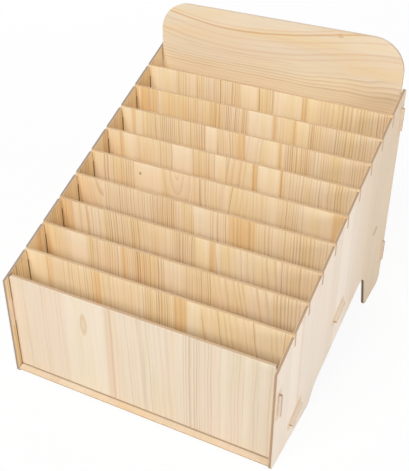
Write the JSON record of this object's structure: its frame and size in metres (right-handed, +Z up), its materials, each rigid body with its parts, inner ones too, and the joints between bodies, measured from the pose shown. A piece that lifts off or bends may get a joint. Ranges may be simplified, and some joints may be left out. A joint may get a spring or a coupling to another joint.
{
  "type": "desktop mail sorter",
  "caption": "Free-standing desktop mail sorter of thin tenoned wood boards: raked sides, a row of upright lift-out dividers rising towards a tall back panel with rounded corners.",
  "frame": {"origin": "on the table, midway between the two sides and midway along their depth: the centre of the bounding box's bottom", "axes": "+X to the right seen from the front, +Y to the back, +Z up"},
  "size_m": [0.307, 0.3384, 0.313],
  "materials": {
    "pale_pine": "satin pale pine laminate on thin board, brown cut edges",
    "warm_pine": "satin warm pine laminate on thin board, brown cut edges"
  },
  "bodies": {
    "case": {"left_side_panel": "pale_pine", "right_side_panel": "pale_pine", "front_panel": "pale_pine", "base_board": "warm_pine", "back_panel": "warm_pine"},
    "lift_out_divider_1": {"divider_1": "warm_pine"},
    "lift_out_divider_2": {"divider_2": "warm_pine"},
    "lift_out_divider_3": {"divider_3": "warm_pine"},
    "lift_out_divider_4": {"divider_4": "warm_pine"},
    "lift_out_divider_5": {"divider_5": "warm_pine"},
    "lift_out_divider_6": {"divider_6": "warm_pine"},
    "lift_out_divider_7": {"divider_7": "warm_pine"},
    "lift_out_divider_8": {"divider_8": "warm_pine"},
    "lift_out_divider_9": {"divider_9": "warm_pine"}
  },
  "joints": [
    {"name": "divider_1_lift", "type": "slide", "parent": "case", "child": "lift_out_divider_1", "axis": [0, 0, 1], "range_m": [0, 0.14]},
    {"name": "divider_2_lift", "type": "slide", "parent": "case", "child": "lift_out_divider_2", "axis": [0, 0, 1], "range_m": [0, 0.14]},
    {"name": "divider_3_lift", "type": "slide", "parent": "case", "child": "lift_out_divider_3", "axis": [0, 0, 1], "range_m": [0, 0.14]},
    {"name": "divider_4_lift", "type": "slide", "parent": "case", "child": "lift_out_divider_4", "axis": [0, 0, 1], "range_m": [0, 0.14]},
    {"name": "divider_5_lift", "type": "slide", "parent": "case", "child": "lift_out_divider_5", "axis": [0, 0, 1], "range_m": [0, 0.14]},
    {"name": "divider_6_lift", "type": "slide", "parent": "case", "child": "lift_out_divider_6", "axis": [0, 0, 1], "range_m": [0, 0.14]},
    {"name": "divider_7_lift", "type": "slide", "parent": "case", "child": "lift_out_divider_7", "axis": [0, 0, 1], "range_m": [0, 0.14]},
    {"name": "divider_8_lift", "type": "slide", "parent": "case", "child": "lift_out_divider_8", "axis": [0, 0, 1], "range_m": [0, 0.14]},
    {"name": "divider_9_lift", "type": "slide", "parent": "case", "child": "lift_out_divider_9", "axis": [0, 0, 1], "range_m": [0, 0.14]}
  ]
}
